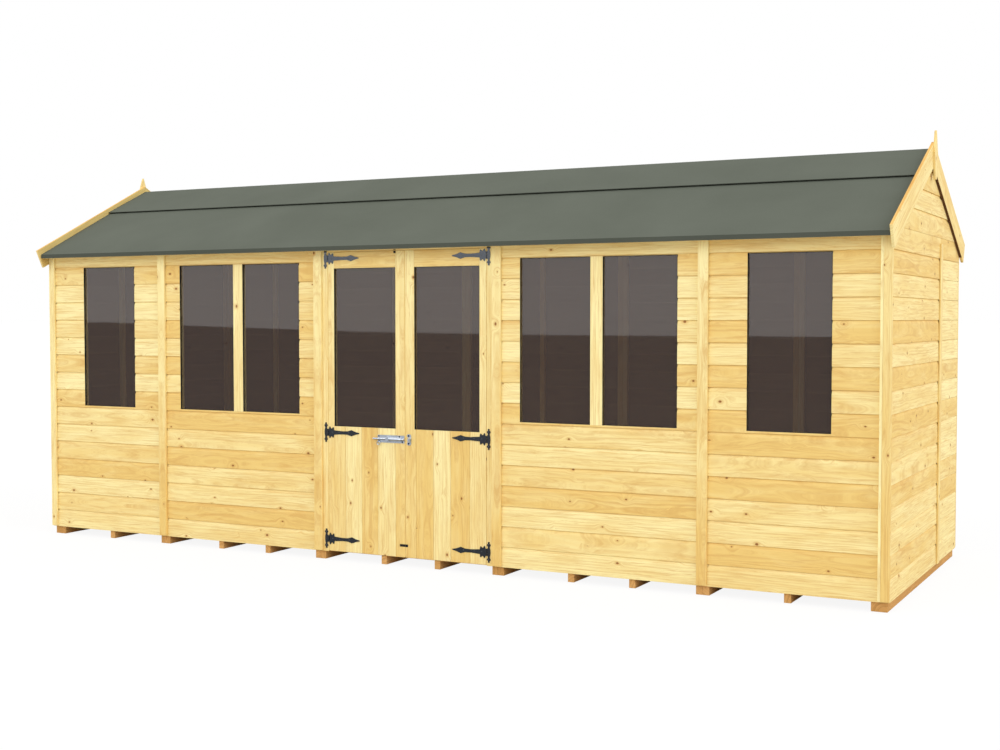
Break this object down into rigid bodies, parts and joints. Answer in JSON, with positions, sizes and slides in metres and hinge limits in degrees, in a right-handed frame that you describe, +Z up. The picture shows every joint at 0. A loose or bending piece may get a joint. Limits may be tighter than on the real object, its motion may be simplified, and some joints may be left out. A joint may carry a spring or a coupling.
{
  "type": "summerhouse",
  "caption": "Long apex-roofed timber summerhouse with glazed double doors in the middle of the front, fixed windows beside them and a felted roof.",
  "frame": {"origin": "on the ground under the middle of the overall box, at the underside of the floor joists", "axes": "+X along the front wall, to the right of someone facing the doors from outside; +Y from the front wall to the back wall; +Z up"},
  "size_m": [5.544, 2.064, 2.4351],
  "materials": {
    "planed_pine": "planed pale yellow pine",
    "sawn_pine": "sawn orange-brown pine",
    "roof_felt": "mineral roofing felt, grey-green and matt",
    "tinted_glass": "clear window glass over a dark room",
    "black_iron": "black lacquered iron",
    "zinc_plate": "bright zinc-plated steel"
  },
  "bodies": {
    "house": {"floor_joists": "sawn_pine", "floor_boards": "sawn_pine", "front_wall_left_end": "planed_pine", "front_wall_left_pair": "planed_pine", "front_wall_right_pair": "planed_pine", "front_wall_right_end": "planed_pine", "front_frame": "planed_pine", "window_glass": "tinted_glass", "door_jambs": "planed_pine", "door_head": "planed_pine", "front_cover_strips": "planed_pine", "back_wall": "planed_pine", "back_frame": "planed_pine", "back_cover_strips": "planed_pine", "left_gable_wall": "planed_pine", "right_gable_wall": "planed_pine", "gable_frames": "planed_pine", "gable_cover_strips": "planed_pine", "left_gable_peak": "planed_pine", "right_gable_peak": "planed_pine", "gable_rafters": "planed_pine", "roof_boards_front": "planed_pine", "roof_boards_back": "planed_pine", "ridge_beam": "planed_pine", "purlins": "planed_pine", "felt_front": "roof_felt", "felt_back": "roof_felt", "felt_ridge": "roof_felt", "bargeboards_left": "planed_pine", "bargeboards_right": "planed_pine", "finial_left": "planed_pine", "finial_right": "planed_pine", "hinge_plates": "black_iron"},
    "left_door": {"left_door_boards": "planed_pine", "left_door_frame": "planed_pine", "left_door_glass": "tinted_glass", "left_door_straps": "black_iron", "bolt_plate": "zinc_plate"},
    "right_door": {"right_door_boards": "planed_pine", "right_door_frame": "planed_pine", "right_door_glass": "tinted_glass", "right_door_straps": "black_iron", "bolt_keeper": "zinc_plate"},
    "bolt": {"bolt_rod": "zinc_plate"}
  },
  "joints": [
    {"name": "left_door_hinge", "type": "hinge", "parent": "house", "child": "left_door", "pos_m": [-0.53, -0.9265, 0.9], "axis": [0, 0, -1], "range_deg": [0, 160]},
    {"name": "right_door_hinge", "type": "hinge", "parent": "house", "child": "right_door", "pos_m": [0.53, -0.9265, 0.9], "axis": [0, 0, 1], "range_deg": [0, 160]},
    {"name": "bolt_slide", "type": "slide", "parent": "left_door", "child": "bolt", "axis": [1, 0, 0], "range_m": [0, 0.036]}
  ]
}
